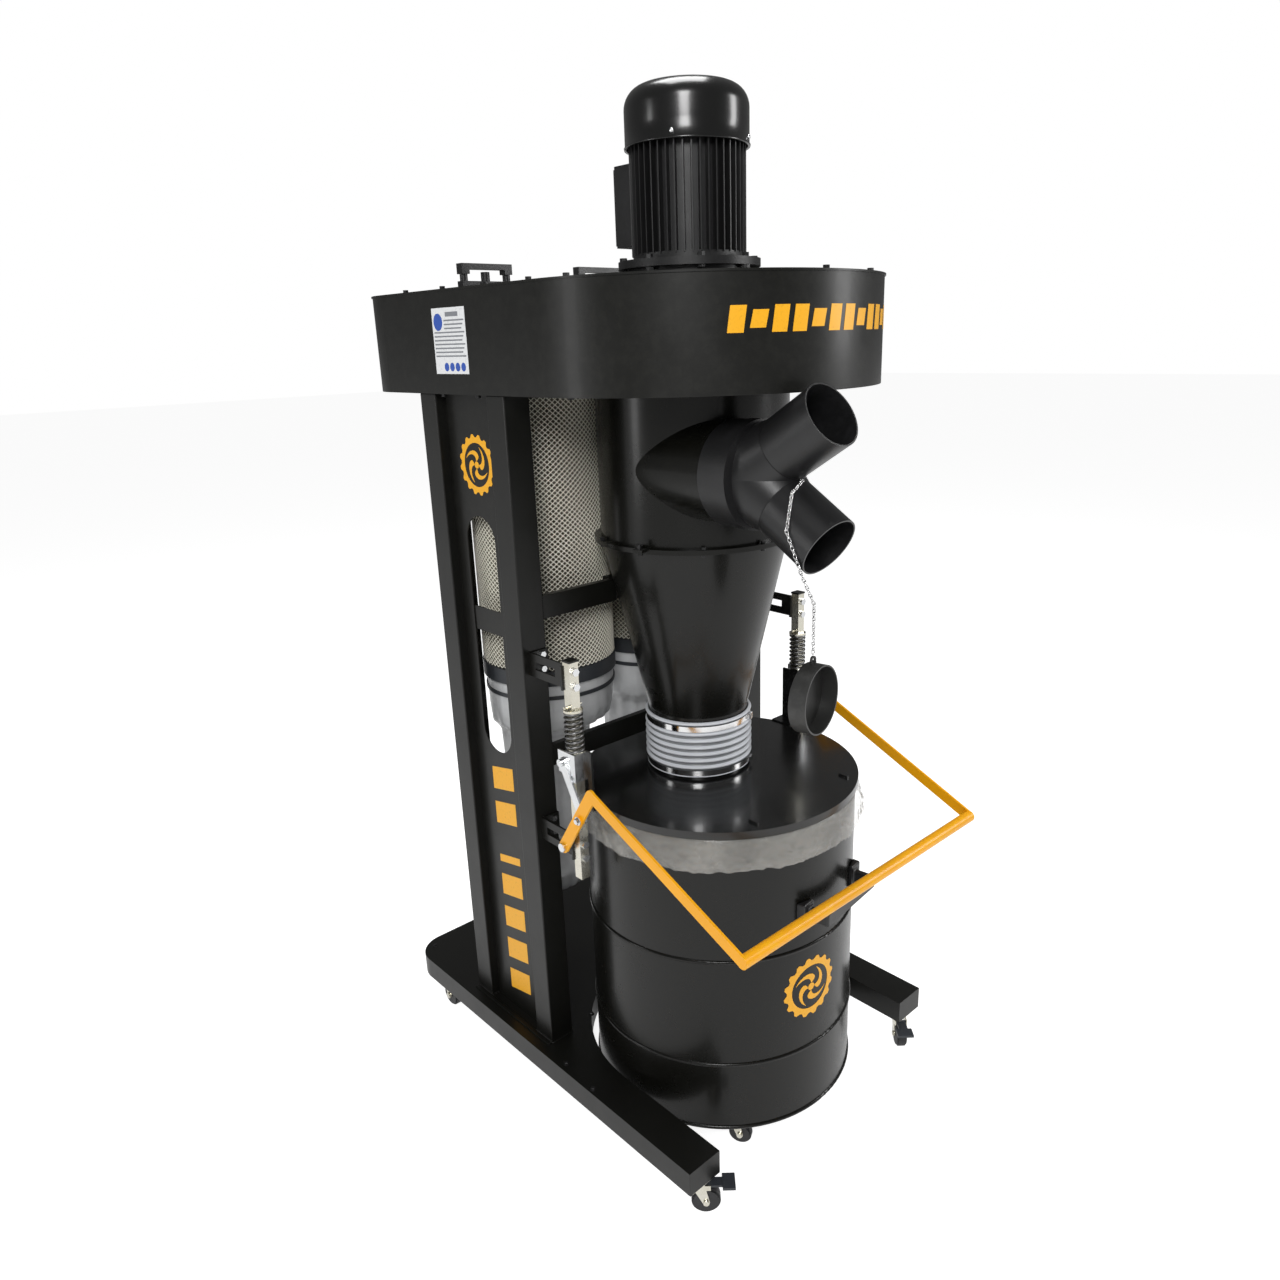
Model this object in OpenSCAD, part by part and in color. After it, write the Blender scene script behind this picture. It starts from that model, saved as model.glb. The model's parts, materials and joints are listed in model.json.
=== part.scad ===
// Portable cyclone dust collector: caster base, columns, blower housing, cyclone, drum and lid lift.
// Millimetres. x = machine's width, -y = front (drum side), z = up, floor at z = 0.

/* [Overall] */
// Width across the two base legs
base_w = 672; // [600:2:820]
// Height of the underside of the blower housing
housing_z = 1341; // [1200:1:1600]

/* [Base] */
// Width of one leg
leg_w = 71; // [50:1:100]
// Height of the folded leg
leg_h = 46; // [35:1:60]
// Underside of the legs above the floor
leg_z = 70; // [66:1:90]
// Sheet thickness of the base tray
sheet = 3; // [2:0.5:5]
// Corner radius at the rear of the base
base_r = 60; // [20:1:100]

/* [Columns] */
// Side of the square column tube
post = 50; // [35:1:60]
// How far the column stands in from the outside of the base
post_in = 30; // [20:1:40]
// Recess of the side panel behind the column face
panel_in = 18; // [10:1:30]

/* [Housing] */
// Height of the blower housing
housing_h = 166; // [120:1:220]
// Inset of the housing sides from the outside of the base
housing_in = 23; // [15:1:60]
// Corner radius at the rear of the housing
housing_r = 120; // [60:1:160]
// Bore of the vortex tube
vortex_r = 78; // [60:1:95]

/* [Cyclone] */
// Outer radius of the barrel
barrel_r = 165; // [140:1:168]
// Height of the joint between barrel and cone
joint_z = 1091; // [1060:1:1110]
// Outer radius of the cone outlet
outlet_r = 92; // [75:1:105]
// Outer radius of the inlet pipe
inlet_r = 80; // [60:1:85]
// Height of the inlet pipe axis
inlet_z = 1218; // [1200:1:1240]
// Outer radius of each hose port
port_r = 50; // [35:1:55]
// Angle of each port branch above and below level
port_a = 32; // [25:1:40]

/* [Drum] */
// Radius of the drum wall
drum_r = 251; // [200:1:252]
// Height of the top of the drum
drum_top = 640; // [560:1:680]
// Underside of the drum floor
drum_floor = 64; // [60:1:90]

/* [Lid lift] */
// Side of the square guide bar
bar = 18; // [12:1:24]
// Free length of the lift spring
spring_len = 70; // [62:1:90]
// Height of the handle pivot
pivot_z = 583; // [560:1:600]

/* [Motor] */
// Radius over the cooling fins
motor_r = 93; // [75:1:110]
// Height of the fan cover's top above the housing
motor_h = 301; // [260:1:340]

/* [Hidden] */
$fn = 96;
gap = 0.3;
base_front = -390;
base_back = 497;
hw = base_w / 2;
leg_top = leg_z + leg_h;
leg_in = hw - leg_w;
drum_y = -144;
blow_y = -92;
post_x = hw - post_in;
post_ys = [21, 228];
post_d = 207;
house_r = hw - housing_in;
house_top = housing_z + housing_h;
house_back = 490;
flt_x = 133;
flt_y = 184;
flt_r = 127;
flt_z = 842;
bag_z = 798;
bag_end = 330;
guide_x = hw - 45;
guide_y = -91;
bar_z = [525, 922];
fit = 0.2;
lid_top = drum_top + 15;
hose_z = [lid_top + 5, 772];
stud_z = 742;
stud_y = -72;
spring_z = stud_z + 22;
pin_y = -120;
pin_z = pivot_z + 70;
pivot_y = -69;
elbow = [-152, pivot_z + 124];
grip = [-486.5, pivot_z - 26];
grip_r = 10.5;
arm_x = guide_x + 17.5;
arm_t = 4.5;
link_x = guide_x + 13.3;
pipe_x = -82;
yoke_y = -299;
branch = 178;
cap_c = [-113, -467, 901];
cap_r = 53.5;
crank_y = 305;
wheel_r = 25;
wheel_w = 20;
trail = 20;
dwheel_r = 21;
dwheel_w = 16;
dtrail = 17;
dcast_r = 216;
dcast = [[228, -60], [300, -20], [48, 70], [120, 160]];
front_dir = [-43, -133];
swivel = [hw - 34, -364];
rear_c = [hw - 36, 405];

black = [0.08, 0.08, 0.08];
soft_black = [0.15, 0.15, 0.15];
zinc = [0.75, 0.74, 0.68];
orange = [1, 0.66, 0.1];

// ---- helpers ----
module both() { children(); mirror([1, 0, 0]) children(); }
module tube(r, w, h) {
  difference() { cylinder(r = r, h = h); translate([0, 0, -1]) cylinder(r = r - w, h = h + 2); }
}
module along_x(len) { rotate([0, 90, 0]) children(); }
module bolt(r, h) { cylinder(r = r, h = h, $fn = 6); }
module block(lo, hi) { translate(lo) cube([hi[0] - lo[0], hi[1] - lo[1], hi[2] - lo[2]]); }
// bar of width w and thickness t between two points of the y-z plane, starting at x
module strap(a, b, w, t, x) {
  v = b - a;
  translate([x, a[0], a[1]]) rotate([atan2(v[1], v[0]), 0, 0]) {
    translate([0, 0, -w / 2]) cube([t, norm(v), w]);
    rotate([0, 90, 0]) cylinder(r = w / 2, h = t);
    translate([0, norm(v), 0]) rotate([0, 90, 0]) cylinder(r = w / 2, h = t);
  }
}
module pin(y, z, r, x0, x1) { translate([x0, y, z]) rotate([0, 90, 0]) cylinder(r = r, h = x1 - x0); }

// ---- base ----
module tray(i) {
  r = base_r - i;
  difference() {
    union() {
      translate([-hw + i, base_front + i]) square([base_w - 2 * i, base_back - base_r - base_front - i]);
      translate([-hw + base_r, base_front + i])
        square([base_w - 2 * base_r, base_back - base_front - 2 * i]);
      for (s = [-1, 1]) translate([s * (hw - base_r), base_back - base_r]) circle(r = r);
    }
    translate([-leg_in - i, base_front - 1]) square([2 * (leg_in + i), drum_y - base_front + 1]);
    translate([0, drum_y]) circle(r = leg_in + i);
  }
}
module base_frame() color(black) {
  difference() {
    translate([0, 0, leg_z]) linear_extrude(leg_h) tray(0);
    translate([0, 0, leg_z - 1]) linear_extrude(leg_h - sheet + 1) tray(sheet);
  }
  both() {
    block([swivel[0] - 32, base_front + 1, leg_z], [swivel[0] + 32, base_front + 58, leg_z + sheet]);
    block([rear_c[0] - 35, rear_c[1] - 30, leg_z], [rear_c[0] + 35, rear_c[1] + 30, leg_z + sheet]);
    block([rear_c[0] - 35, rear_c[1] - 30, leg_z], [rear_c[0] - 32, rear_c[1] + 30, leg_top - 1]);
  }
}

// ---- columns and panels ----
module columns() color(black) both() {
  for (y = post_ys) difference() {
    block([post_x - post, y, leg_top], [post_x, y + post, housing_z]);
    block([post_x - post + 3, y + 3, leg_top + 5], [post_x - 3, y + post - 3, housing_z - 5]);
  }
  block([post_x, post_ys[0], leg_top], [post_x + 10, post_ys[1] + post, leg_top + 3]);
}
module panel() {
  x = post_x - panel_in;
  y0 = post_ys[0] + post;
  y1 = post_ys[1];
  mid = (y0 + y1) / 2;
  difference() {
    block([x - 2, y0, leg_top], [x, y1, housing_z]);
    for (z = [732, 1090]) translate([x - 3, mid, z]) rotate([0, 90, 0]) cylinder(r = 44, h = 4);
    block([x - 3, mid - 44, 732], [x + 1, mid + 44, 1090]);
  }
  block([x - 16, y0, 925], [x - 2, y0 + 3, 965]);
  block([x - 16, y1 - 3, 925], [x - 2, y1, 965]);
}
module left_side_panel() color(black) mirror([1, 0, 0]) {
  panel();
  panel_strap();
}
module right_side_panel() color(black) { panel(); panel_strap(); }
module panel_strap() {
  x = post_x - panel_in;
  block([x - 5, post_ys[0] + post, 922], [x - 2, post_ys[1], 966]);
}
module cross_bars() color(black) {
  x = post_x - post;
  y = post_ys[0] + 4;
  block([-x, y, 688], [x, y + 14, 728]);
  difference() {
    union() {
      block([-x, y, 964], [x, y + 14, 1005]);
      block([-92, y, 964], [92, 59.5, 1005]);
    }
    translate([0, blow_y, 963]) cylinder(r = 147.2, h = 43);
  }
}

// ---- housing ----
module house_plan(i) {
  rr = housing_r;
  translate([0, blow_y]) circle(r = house_r - i);
  translate([-house_r + i, blow_y]) square([2 * (house_r - i), house_back - rr - blow_y]);
  translate([-house_r + rr, 0]) square([2 * (house_r - rr), house_back - i]);
  for (s = [-1, 1]) translate([s * (house_r - rr), house_back - rr]) circle(r = rr - i);
}
module housing_shell() color(black) difference() {
  translate([0, 0, housing_z]) linear_extrude(housing_h - 3) house_plan(0);
  difference() {
    translate([0, 0, housing_z + 3]) linear_extrude(housing_h) house_plan(3);
    difference() {
      translate([-house_r, flt_y - flt_r - 36, housing_z]) cube([2 * house_r - 150, 3, housing_h]);
      translate([0, blow_y, housing_z - 1]) cylinder(r = 188, h = housing_h + 2);
    }
    translate([0, blow_y, housing_z]) tube(190, 3, housing_h);
  }
  translate([0, blow_y, housing_z - 1]) cylinder(r = vortex_r - 2, h = 6);
  both() translate([flt_x, flt_y, housing_z - 1]) cylinder(r = 70, h = 6);
  translate([150, blow_y - 40, housing_z + 20]) cube([60, 90, 80]);
}
module housing_top_plate() color(black) difference() {
  translate([0, 0, house_top - 3]) linear_extrude(3) house_plan(-2);
  translate([0, blow_y, house_top - 4]) cylinder(r = 90, h = 6);
  both() translate([flt_x, crank_y, house_top - 4]) cylinder(r = 8 + 0.05, h = 6);
}
module housing_bolts() color(soft_black) {
  for (a = [190:25:350]) translate([0, blow_y, 0]) rotate(a)
    translate([house_r - 12, 0, house_top]) bolt(5, 5);
  both() {
    for (y = [-60, 60, 180, 300]) translate([house_r - 12, y, house_top]) bolt(5, 5);
    for (y = [95, 200]) translate([house_r - 9, y, housing_z - 5]) bolt(5, 5);
    translate([house_r - 40, -110, housing_z - 5]) bolt(5, 5);
  }
  for (x = [-120, 0, 120]) translate([x, house_back - 14, house_top]) bolt(5, 5);
}

// ---- cyclone ----
module cyclone_barrel() color(black) {
  translate([0, blow_y, 0]) difference() {
    union() {
      translate([0, 0, joint_z]) cylinder(r = barrel_r, h = housing_z - joint_z);
      translate([0, 0, joint_z]) cylinder(r = barrel_r + 12, h = 4);
    }
    translate([0, 0, joint_z - 1]) cylinder(r = barrel_r - 2, h = housing_z - joint_z + 2);
    block([pipe_x - 50, -190, inlet_z - 58], [pipe_x + 62, -60, inlet_z + 58]);
  }
  lug(joint_z, 5);
}
module vortex_tube() color(black)
  translate([0, blow_y, joint_z + 60]) tube(vortex_r, 2, housing_z - joint_z - 60);
module inlet_pipe() color(black) translate([0, blow_y, 0]) difference() {
  translate([pipe_x, 0, inlet_z]) rotate([90, 0, 0]) cylinder(r = inlet_r, h = 189);
  translate([pipe_x, 1, inlet_z]) rotate([90, 0, 0]) cylinder(r = inlet_r - 2, h = 191);
  translate([0, 0, joint_z]) cylinder(r = barrel_r + 0.02, h = housing_z - joint_z);
}
module lug(z, h) {
  translate([0, blow_y, z]) rotate(196) block([barrel_r + 10.5, -9, 0], [barrel_r + 26, 9, h]);
}
module cyclone_cone() color(black) translate([0, blow_y, 0]) {
  h = joint_z - 4 - hose_z[1];
  difference() {
    union() {
      translate([0, 0, hose_z[1]]) cylinder(r1 = outlet_r, r2 = barrel_r, h = h);
      translate([0, 0, joint_z - 4]) cylinder(r = barrel_r + 12, h = 4);
      translate([0, 0, hose_z[1] - 32]) cylinder(r = outlet_r, h = 32);
    }
    translate([0, 0, hose_z[1]]) cylinder(r1 = outlet_r - 2, r2 = barrel_r - 2, h = h);
    translate([0, 0, joint_z - 4.01]) cylinder(r = barrel_r - 2, h = 5);
    translate([0, 0, hose_z[1] - 33]) cylinder(r = outlet_r - 2, h = 34);
  }
}
module flange_bolts() color(soft_black) {
  translate([0, blow_y, 0]) for (k = [0:9]) rotate(k * 36 + 14)
    translate([barrel_r + 6, 0, joint_z + 4]) bolt(4, 4);
  translate([0, blow_y, 0]) for (k = [0:9]) rotate(k * 36 + 14)
    translate([barrel_r + 6, 0, joint_z - 8]) bolt(4, 4);
  translate([0, blow_y, 0]) rotate(196) translate([barrel_r + 20, 0, joint_z + 5]) bolt(4, 8);
}
// one branch of the yoke, cut at the level of the inlet axis; d shrinks it for the bore
module branch_half(s, d, ext) intersection() {
  translate([pipe_x, yoke_y, inlet_z]) rotate([90 - s * port_a, 0, 0]) union() {
    translate([0, 0, -40]) cylinder(r1 = 84 - d, r2 = port_r + 0.6 - d, h = 120);
    translate([0, 0, 70]) cylinder(r = port_r - d, h = branch - 70 + ext);
  }
  z = inlet_z + (s > 0 ? 0 : -200);
  block([pipe_x - 100, yoke_y - 250, z], [pipe_x + 100, yoke_y - 8 + d, z + 200]);
}
module inlet_wye() color(soft_black) {
  difference() {
    union() {
      translate([pipe_x, yoke_y + 34, inlet_z]) rotate([90, 0, 0]) cylinder(r = inlet_r + 2.5, h = 36);
      translate([pipe_x, yoke_y, inlet_z]) rotate([90, 0, 0]) cylinder(r = inlet_r + 4, h = 22);
      branch_half(1, 0, 0);
      branch_half(-1, 0, 0);
    }
    translate([pipe_x, yoke_y + 35, inlet_z]) rotate([90, 0, 0]) cylinder(r = inlet_r + 0.05, h = 36);
    translate([pipe_x, yoke_y, inlet_z]) rotate([90, 0, 0]) cylinder(r = inlet_r - 10, h = 20);
    branch_half(1, 2.5, 1);
    branch_half(-1, 2.5, 1);
  }
}

// ---- hose and lid ----
module lid_hose() color([0.85, 0.85, 0.85]) translate([0, blow_y, 0]) {
  translate([0, 0, hose_z[0]]) tube(outlet_r + 3.5, 3.2, hose_z[1] - hose_z[0] - 6);
}
module clamp_ring(z) {
  translate([0, blow_y, z]) tube(outlet_r + 5, 1.2, 10);
  translate([0, blow_y, z]) rotate(-62) block([outlet_r + 4, -7, 0], [outlet_r + 11, 7, 10]);
}
module upper_hose_clamp() color(zinc) clamp_ring(hose_z[1] - 24);
module lower_hose_clamp() color(zinc) clamp_ring(hose_z[0] + 3);
module drum_lid() color(black) {
  difference() {
    union() {
      translate([0, drum_y, lid_top - 2.5]) cylinder(r = drum_r + 5, h = 2.5);
      translate([0, drum_y, drum_top + 1.5]) tube(drum_r + 5, 2.5, lid_top - drum_top - 2);
      translate([0, blow_y, lid_top - 1]) cylinder(r = outlet_r, h = 25);
    }
    translate([0, blow_y, lid_top - 4]) cylinder(r = outlet_r - 2, h = 40);
  }
  both() {
    block([guide_x - 50, guide_y - 24, lid_top - 1], [guide_x - 13, guide_y + 24, lid_top + 3]);
    block([guide_x - 17, guide_y - 24, lid_top + 3], [guide_x - 13, guide_y + 24, stud_z + 20]);
    for (z = [stud_z - 16, stud_z + 2]) pin(guide_y - 17, z, 4, guide_x - 21, guide_x - 17);
  }
  both() block([120, drum_y - 205, lid_top], [123, drum_y - 185, lid_top + 4]);
}
module lid_gasket() color(soft_black)
  translate([0, drum_y, drum_top + 1.6]) tube(drum_r + 2.4, 18, lid_top - drum_top - 4.1);
module lid_slides() color(zinc) both() difference() {
  union() {
    block([guide_x - 13, guide_y - 13, stud_z - 30], [guide_x + 13, guide_y + 13, spring_z - 2]);
    block([guide_x + 9, guide_y, stud_z - 20], [guide_x + 13, guide_y + 32, spring_z - 2]);
    pin(stud_y, stud_z, 4, guide_x + 12, arm_x + 4);
    pin(stud_y, stud_z, 7, link_x + 4.2, link_x + 8);
  }
  b = bar + 2 * fit;
  block([guide_x - b / 2, guide_y - b / 2, 600], [guide_x + b / 2, guide_y + b / 2, 800]);
}

// ---- lid lift ----
module guide_bars() color(zinc) both() {
  block([guide_x - bar / 2, guide_y - bar / 2, bar_z[0]], [guide_x + bar / 2, guide_y + bar / 2, bar_z[1]]);
  z = spring_z + spring_len + 6;
  pin(guide_y, z + 5, 2.5, guide_x - 18, guide_x + 18);
  difference() {
    translate([guide_x, guide_y, z - 4]) cylinder(r = 17, h = 4);
    block([guide_x - 5, guide_y - 5, z - 5], [guide_x + 5, guide_y + 5, z + 5]);
  }
}
module lift_springs() color(zinc) both()
  translate([guide_x, guide_y, spring_z + gap]) tube(17, 3, spring_len + 2 - 2 * gap);
module bracket(z) {
  block([guide_x - 35, post_ys[0] - 4, z - 21], [guide_x + 2, post_ys[0], z + 21]);
  difference() {
    block([guide_x - 2, guide_y + bar / 2, z - 21], [guide_x + 2, post_ys[0] - 4, z + 21]);
    block([guide_x - 3, guide_y + bar / 2 + 32, z - 7], [guide_x + 3, post_ys[0] - 16, z + 7]);
  }
  block([guide_x - 12, guide_y + bar / 2, z - 21], [guide_x + 12, guide_y + bar / 2 + 4, z + 21]);
}
module guide_brackets() color(black) both() {
  bracket(893);
  bracket(pivot_z - 4);
  block([guide_x - bar / 2 - 1, guide_y - bar / 2 - 1, bar_z[1]],
        [guide_x + bar / 2 + 1, guide_y + bar / 2 + 1, bar_z[1] + 3]);
}
module bracket_bolts() color(zinc) both() {
  for (z = [893, pivot_z - 4]) {
    for (s = [-13, 13]) {
      translate([guide_x, guide_y - bar / 2, z + s]) rotate([90, 0, 0]) bolt(7, 6);
      translate([guide_x - 22, post_ys[0] - 4, z + s]) rotate([90, 0, 0]) bolt(6, 5);
    }
  }
  pin(pivot_y, pivot_z, 4, guide_x + 2, arm_x + arm_t + 1);
  pin(pivot_y, pivot_z, 8, arm_x + arm_t + 1, arm_x + arm_t + 5);
  pin(pivot_y, pivot_z, 9, guide_x + 2, arm_x - 1);
}
module lift_handle() color(orange) {
  both() difference() {
    union() {
      strap([pivot_y, pivot_z], elbow, 22, arm_t, arm_x);
      strap(elbow, grip, 20, arm_t, arm_x);
      pin(pin_y, pin_z, 4, link_x - 1.5, arm_x + 1);
      pin(pin_y, pin_z, 7, arm_x + arm_t, arm_x + arm_t + 4);
    }
    pin(pivot_y, pivot_z, 4.06, arm_x - 1, arm_x + arm_t + 1);
  }
  pin(grip[0], grip[1], grip_r, -arm_x - arm_t, arm_x + arm_t);
}
module lift_links() color(zinc) both() difference() {
  strap([pin_y, pin_z], [stud_y, stud_z], 17, 3.6, link_x);
  pin(pin_y, pin_z, 4.06, link_x - 1, link_x + 5);
  pin(stud_y, stud_z, 6.6, link_x - 1, link_x + 5);
}

// ---- drum ----
module drum() color(black) translate([0, drum_y, 0]) {
  translate([0, 0, drum_floor - 10]) tube(drum_r, 2, drum_top - drum_floor + 10);
  translate([0, 0, drum_floor]) cylinder(r = drum_r - 1, h = 3);
  for (z = [drum_floor - 6, drum_floor + 130, drum_floor + 341, drum_top - 4])
    translate([0, 0, z]) rotate_extrude() translate([drum_r - 1, 0]) circle(r = 4, $fn = 24);
}
module drum_handles() color(soft_black) translate([0, drum_y, 477]) for (a = [-83, 97]) rotate(a) {
  for (s = [-1, 1]) difference() {
    translate([drum_r - 30, s * 80 - 15, -22]) cube([28, 30, 44]);
    translate([0, 0, -23]) cylinder(r = drum_r + 0.02, h = 46);
  }
  block([drum_r - 4, -82, -11], [drum_r + 36, -70, 11]);
  block([drum_r - 4, 70, -11], [drum_r + 36, 82, 11]);
  block([drum_r + 26, -82, -11], [drum_r + 36, 82, 11]);
}
module drum_liner() color([0.8, 0.8, 0.8]) translate([0, drum_y, 0]) rotate_extrude() polygon([
  [drum_r + 3.4, 584], [drum_r + 4, 584], [drum_r + 4.2, drum_top - 2], [drum_r + 2, drum_top + 1.1],
  [drum_r - 5.4, drum_top + 1.1], [drum_r - 6.8, drum_top - 10], [drum_r - 6.8, 110], [0.2, 110],
  [0.2, 109.4], [drum_r - 6.2, 109.4], [drum_r - 6.2, drum_top - 10], [drum_r - 4.8, drum_top + 0.5],
  [drum_r + 1.6, drum_top + 0.5], [drum_r + 3.6, drum_top - 2]]);

// ---- casters ----
module drum_caster_at(k) {
  translate([0, drum_y, 0]) rotate(dcast[k][0]) translate([dcast_r, 0, 0])
    rotate(dcast[k][1] - dcast[k][0]) children();
}
module drum_caster_plates() color(zinc) for (k = [0:3]) drum_caster_at(k) {
  block([-16, -16, drum_floor - 2], [16, 16, drum_floor]);
  translate([0, 0, drum_floor - 8]) cylinder(r = 5, h = 7);
}
module fork(r, w, t, top, pinr) {
  difference() {
    translate([0, 0, top - 3]) cylinder(r = w / 2 + 5, h = 3);
    translate([0, 0, top - 4]) cylinder(r = 5.06, h = 5);
  }
  for (s = [-1, 1]) {
    y = s * (w / 2 + 1.5) - 1;
    hull() {
      translate([-w / 3, y, top - 3]) cube([w / 1.5 + t / 2, 2, 3]);
      translate([t, y, r]) rotate([-90, 0, 0]) cylinder(r = 6, h = 2, $fn = 24);
    }
  }
  translate([t, -w / 2 - 5, r]) rotate([-90, 0, 0]) cylinder(r = pinr, h = w + 10);
  for (s = [-1, 1]) translate([t, s * (w / 2 + 4) - 1.5, r]) rotate([-90, 0, 0]) cylinder(r = 5, h = 3);
}
module wheel(r, w, t, pinr) {
  translate([t, w / 2, r]) rotate([90, 0, 0]) difference() {
    union() {
      cylinder(r = r - 3, h = w);
      translate([0, 0, 3]) cylinder(r = r, h = w - 6);
      translate([0, 0, w / 2]) rotate_extrude() translate([r - 3, 0]) intersection() {
        square([3, w - 0.02], center = false);
        circle(r = 3, $fn = 32);
      }
    }
    translate([0, 0, -1]) cylinder(r = pinr + 0.06, h = w + 2);
  }
}
module drum_fork(k) color(zinc) drum_caster_at(k) fork(dwheel_r, dwheel_w, dtrail, drum_floor - 2.4, 3);
module drum_wheel(k) color(soft_black) drum_caster_at(k) wheel(dwheel_r, dwheel_w, dtrail, 3);
module drum_fork_1() drum_fork(0);
module drum_fork_2() drum_fork(1);
module drum_fork_3() drum_fork(2);
module drum_fork_4() drum_fork(3);
module drum_wheel_1() drum_wheel(0);
module drum_wheel_2() drum_wheel(1);
module drum_wheel_3() drum_wheel(2);
module drum_wheel_4() drum_wheel(3);

module front_at(s) {
  translate([s * swivel[0], swivel[1], 0]) rotate(front_dir[(s + 1) / 2]) children();
}
module caster_plates() color(zinc) {
  both() {
    block([swivel[0] - 26, swivel[1] - 24, leg_z - 3], [swivel[0] + 26, swivel[1] + 24, leg_z]);
    translate([swivel[0], swivel[1], leg_z - 12]) cylinder(r = 5, h = 10);
    translate([rear_c[0], rear_c[1], 0]) {
      block([-26, -28, leg_z - 3], [26, 28, leg_z]);
      for (s = [-1, 1]) hull() {
        translate([s * 12 - 1, -20, leg_z - 4]) cube([2, 40, 3]);
        translate([s * 12 - 1, 0, wheel_r]) rotate([0, 90, 0]) cylinder(r = 7, h = 2, $fn = 24);
      }
      pin(0, wheel_r, 4, -15, 15);
      for (s = [-1, 1]) pin(0, wheel_r, 6.5, s * 14.5 - 1.5, s * 14.5 + 1.5);
    }
  }
}
module brake_fork(s) color(zinc) front_at(s) {
  fork(wheel_r, wheel_w, trail, leg_z - 3.4, 4);
  for (k = [-1, 1]) translate([trail - 6, k * (wheel_w / 2 + 1.5) - 1, 50]) cube([14, 2, 10]);
}
module left_fork() brake_fork(-1);
module right_fork() brake_fork(1);
module left_wheel() color(soft_black) front_at(-1) wheel(wheel_r, wheel_w, trail, 4);
module right_wheel() color(soft_black) front_at(1) wheel(wheel_r, wheel_w, trail, 4);
module rear_left_wheel() color(soft_black)
  translate([-rear_c[0], rear_c[1], 0]) rotate(90) wheel(wheel_r, wheel_w, 0, 4);
module rear_right_wheel() color(soft_black)
  translate([rear_c[0], rear_c[1], 0]) rotate(90) wheel(wheel_r, wheel_w, 0, 4);
module pedal() {
  translate([trail + 4, 0, wheel_r + 31]) {
    block([-3, -9, -2.5], [24, 9, 1.5]);
    translate([24, -16, -2.5]) cube([22, 32, 5]);
    translate([0, -10.2, 0]) rotate([-90, 0, 0]) cylinder(r = 3, h = 20.4);
  }
}
module left_pedal() color([0.3, 0.3, 0.32]) front_at(-1) pedal();
module right_pedal() color([0.3, 0.3, 0.32]) front_at(1) pedal();

// ---- motor and rotor ----
module motor_flange() color([0.3, 0.3, 0.3]) translate([0, blow_y, 0]) difference() {
  union() {
    translate([0, 0, house_top]) cylinder(r = 100, h = 22);
    translate([0, 0, house_top + 20]) cylinder(r = 116, h = 12);
    for (k = [0:7]) rotate(k * 45 + 10) translate([108, 0, house_top + 31]) bolt(6, 7);
    for (k = [0:7]) rotate(k * 45 + 10) translate([108, 0, house_top + 16]) bolt(6, 5);
    for (k = [0:3]) rotate(k * 90 + 32) block([60, -9, house_top], [108, 9, house_top + 5]);
  }
  translate([0, 0, house_top - 1]) cylinder(r = 14.05, h = 40);
}
module motor_frame() color(soft_black) translate([0, blow_y, 0]) difference() {
  union() {
    translate([0, 0, house_top + 32]) cylinder(r = motor_r - 12, h = motor_h - 102);
    translate([0, 0, house_top + 32]) cylinder(r = motor_r - 2, h = 10);
    for (k = [0:43]) rotate(k * 360 / 44)
      block([motor_r - 14, -1.1, house_top + 40], [motor_r, 1.1, house_top + motor_h - 76]);
  }
  translate([0, 0, house_top + 31]) cylinder(r = 14.05, h = motor_h);
  block([-48, motor_r - 8, house_top + 59], [48, motor_r + 1, house_top + 184]);
}
module motor_fan_cover() color(black) translate([0, blow_y, house_top + motor_h - 104]) {
  difference() {
    rotate_extrude() union() {
      square([motor_r + 5.5, 62]);
      square([motor_r - 30, motor_h / 3 + 3.6]);
      translate([motor_r - 36.5, 62]) intersection() {
        circle(r = 42);
        square(42);
      }
    }
    translate([0, 0, -1]) cylinder(r = motor_r + 3, h = 61);
    for (i = [0:2]) for (k = [0:7 + 5 * i]) rotate(k * 360 / (8 + 5 * i))
      translate([14 + 16 * i, 0, 50]) cylinder(r = 4.5, h = 80);
  }
  translate([0, 0, 0]) tube(motor_r + 6.5, 3, 3);
  for (k = [0:3]) rotate(k * 90 - 58) translate([motor_r + 4, 0, 12]) rotate([0, 90, 0]) cylinder(r = 4, h = 4);
  for (k = [0:3]) rotate((11 * k + 6) * 360 / 44) block([motor_r, -2, 1], [motor_r + 4, 2, 26]);
}
module junction_box() color(soft_black) translate([0, blow_y, house_top]) {
  block([-48, motor_r - 8, 59], [48, motor_r + 30, 184]);
  block([-44, motor_r + 30, 63], [44, motor_r + 37, 180]);
  translate([0, motor_r + 12, 46]) cylinder(r = 11, h = 14);
  translate([0, motor_r + 12, 40]) cylinder(r = 7, h = 8);
}
module blower_rotor() color(zinc) translate([0, blow_y, 0]) {
  translate([0, 0, housing_z + 40]) cylinder(r = 14, h = housing_h + motor_h - 102);
  translate([0, 0, housing_z + 100]) cylinder(r = 150, h = 3);
  translate([0, 0, housing_z + 34]) cylinder(r = 30, h = 68);
  for (k = [0:9]) rotate(k * 36) block([28, -1.5, housing_z + 50], [148, 1.5, housing_z + 101]);
  translate([0, 0, house_top + motor_h - 68]) cylinder(r = 26, h = 8);
  for (k = [0:7]) rotate(k * 45) block([20, -1.2, house_top + motor_h - 68], [78, 1.2, house_top + motor_h - 48]);
}

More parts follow.
